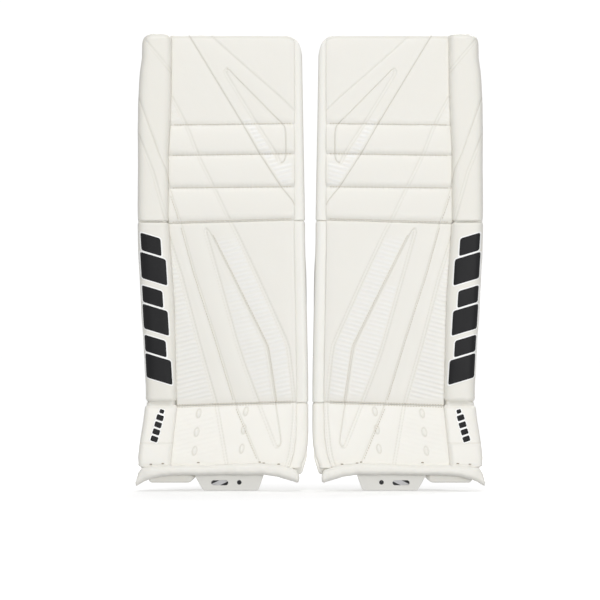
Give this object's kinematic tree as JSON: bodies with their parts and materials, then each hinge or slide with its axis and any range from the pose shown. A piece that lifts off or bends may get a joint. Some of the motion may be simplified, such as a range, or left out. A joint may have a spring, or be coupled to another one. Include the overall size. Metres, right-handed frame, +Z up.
{
  "type": "ice hockey goalie leg pads",
  "caption": "Pair of tall padded leg guards for a hockey goaltender, with knee rolls, outer rolls, toe bridges, leg wings and strap closures.",
  "frame": {"origin": "centre of the pair's bounding box, at the level of the toe bridges' lower edges", "axes": "+Z up along the legs, -Y out of the face that meets the puck, +X from the wearer's right leg to the left"},
  "size_m": [0.5768, 0.261, 0.7578],
  "materials": {
    "face_leather": "satin",
    "roll_leather": "satin",
    "foam": "matte",
    "board": "matte",
    "liner_fabric": "matte",
    "padding_fabric": "matte",
    "webbing": "matte",
    "bridge_plastic": "satin"
  },
  "bodies": {
    "right_thigh": {"right_thigh_panel": "face_leather", "right_upper_knee_roll": "face_leather", "right_middle_knee_roll": "face_leather", "right_lower_knee_roll": "face_leather", "right_thigh_core": "foam", "right_upper_outer_roll": "roll_leather", "right_upper_inner_edge": "roll_leather", "right_thigh_liner": "liner_fabric", "right_knee_block": "padding_fabric"},
    "right_knee_wing": {"right_knee_wing": "padding_fabric", "right_knee_strap_anchor": "webbing"},
    "right_knee_strap": {"right_knee_strap": "webbing"},
    "right_shin": {"right_shin_panel": "face_leather", "right_shin_core": "foam", "right_shin_board": "board", "right_lower_outer_roll": "roll_leather", "right_lower_inner_edge": "roll_leather", "right_shin_liner": "liner_fabric", "right_calf_block": "padding_fabric"},
    "right_calf_wing": {"right_calf_wing": "padding_fabric", "right_calf_strap_anchors": "webbing"},
    "right_upper_calf_strap": {"right_upper_calf_strap": "webbing"},
    "right_lower_calf_strap": {"right_lower_calf_strap": "webbing"},
    "right_boot": {"right_boot_panel": "face_leather", "right_boot_core": "foam", "right_boot_outer_block": "roll_leather", "right_toe_roll": "roll_leather", "right_toe_bridge": "bridge_plastic", "right_boot_webbing": "webbing"},
    "right_boot_strap": {"right_boot_strap": "webbing"},
    "left_thigh": {"left_thigh_panel": "face_leather", "left_upper_knee_roll": "face_leather", "left_middle_knee_roll": "face_leather", "left_lower_knee_roll": "face_leather", "left_thigh_core": "foam", "left_upper_outer_roll": "roll_leather", "left_upper_inner_edge": "roll_leather", "left_thigh_liner": "liner_fabric", "left_knee_block": "padding_fabric"},
    "left_knee_wing": {"left_knee_wing": "padding_fabric", "left_knee_strap_anchor": "webbing"},
    "left_knee_strap": {"left_knee_strap": "webbing"},
    "left_shin": {"left_shin_panel": "face_leather", "left_shin_core": "foam", "left_shin_board": "board", "left_lower_outer_roll": "roll_leather", "left_lower_inner_edge": "roll_leather", "left_shin_liner": "liner_fabric", "left_calf_block": "padding_fabric"},
    "left_calf_wing": {"left_calf_wing": "padding_fabric", "left_calf_strap_anchors": "webbing"},
    "left_upper_calf_strap": {"left_upper_calf_strap": "webbing"},
    "left_lower_calf_strap": {"left_lower_calf_strap": "webbing"},
    "left_boot": {"left_boot_panel": "face_leather", "left_boot_core": "foam", "left_boot_outer_block": "roll_leather", "left_toe_roll": "roll_leather", "left_toe_bridge": "bridge_plastic", "left_boot_webbing": "webbing"},
    "left_boot_strap": {"left_boot_strap": "webbing"}
  },
  "joints": [
    {"name": "right_knee_flex", "type": "hinge", "parent": "right_shin", "child": "right_thigh", "pos_m": [-0.14, -0.01754, 0.444], "axis": [-1, 0, 0], "range_deg": [0, 12], "stiffness_Nm_per_rad": 20},
    {"name": "right_boot_flex", "type": "hinge", "parent": "right_shin", "child": "right_boot", "pos_m": [-0.14, -0.06554, 0.142], "axis": [-1, 0, 0], "range_deg": [0, 12], "stiffness_Nm_per_rad": 20},
    {"name": "right_calf_wing_open", "type": "hinge", "parent": "right_shin", "child": "right_calf_wing", "pos_m": [-0.243, -0.00354, 0.288], "axis": [0, 0, 1], "range_deg": [0, 75]},
    {"name": "right_upper_calf_strap_open", "type": "hinge", "parent": "right_calf_wing", "child": "right_upper_calf_strap", "pos_m": [-0.2555, 0.05266, 0.359], "axis": [0, 0, 1], "range_deg": [0, 100]},
    {"name": "right_lower_calf_strap_open", "type": "hinge", "parent": "right_calf_wing", "child": "right_lower_calf_strap", "pos_m": [-0.2555, 0.05266, 0.224], "axis": [0, 0, 1], "range_deg": [0, 100]},
    {"name": "right_knee_wing_open", "type": "hinge", "parent": "right_thigh", "child": "right_knee_wing", "pos_m": [-0.243, 0.00592, 0.53059], "axis": [0, 0.1045, 0.9945], "range_deg": [0, 75]},
    {"name": "right_knee_strap_open", "type": "hinge", "parent": "right_knee_wing", "child": "right_knee_strap", "pos_m": [-0.2555, 0.06192, 0.52571], "axis": [0, 0.1045, 0.9945], "range_deg": [0, 100]},
    {"name": "right_boot_strap_open", "type": "hinge", "parent": "right_boot", "child": "right_boot_strap", "pos_m": [-0.238, -0.02826, 0.07787], "axis": [0, 0.3746, 0.9272], "range_deg": [0, 85]},
    {"name": "left_knee_flex", "type": "hinge", "parent": "left_shin", "child": "left_thigh", "pos_m": [0.14, -0.01754, 0.444], "axis": [-1, 0, 0], "range_deg": [0, 12], "stiffness_Nm_per_rad": 20},
    {"name": "left_boot_flex", "type": "hinge", "parent": "left_shin", "child": "left_boot", "pos_m": [0.14, -0.06554, 0.142], "axis": [-1, 0, 0], "range_deg": [0, 12], "stiffness_Nm_per_rad": 20},
    {"name": "left_calf_wing_open", "type": "hinge", "parent": "left_shin", "child": "left_calf_wing", "pos_m": [0.243, -0.00354, 0.288], "axis": [0, 0, -1], "range_deg": [0, 75]},
    {"name": "left_upper_calf_strap_open", "type": "hinge", "parent": "left_calf_wing", "child": "left_upper_calf_strap", "pos_m": [0.2555, 0.05266, 0.359], "axis": [0, 0, -1], "range_deg": [0, 100]},
    {"name": "left_lower_calf_strap_open", "type": "hinge", "parent": "left_calf_wing", "child": "left_lower_calf_strap", "pos_m": [0.2555, 0.05266, 0.224], "axis": [0, 0, -1], "range_deg": [0, 100]},
    {"name": "left_knee_wing_open", "type": "hinge", "parent": "left_thigh", "child": "left_knee_wing", "pos_m": [0.243, 0.00592, 0.53059], "axis": [0, -0.1045, -0.9945], "range_deg": [0, 75]},
    {"name": "left_knee_strap_open", "type": "hinge", "parent": "left_knee_wing", "child": "left_knee_strap", "pos_m": [0.2555, 0.06192, 0.52571], "axis": [0, -0.1045, -0.9945], "range_deg": [0, 100]},
    {"name": "left_boot_strap_open", "type": "hinge", "parent": "left_boot", "child": "left_boot_strap", "pos_m": [0.238, -0.02826, 0.07787], "axis": [0, -0.3746, -0.9272], "range_deg": [0, 85]},
    {"name": "pair_spread", "type": "slide", "parent": "right_shin", "child": "left_shin", "axis": [1, 0, 0], "range_m": [0, 0.3]}
  ]
}
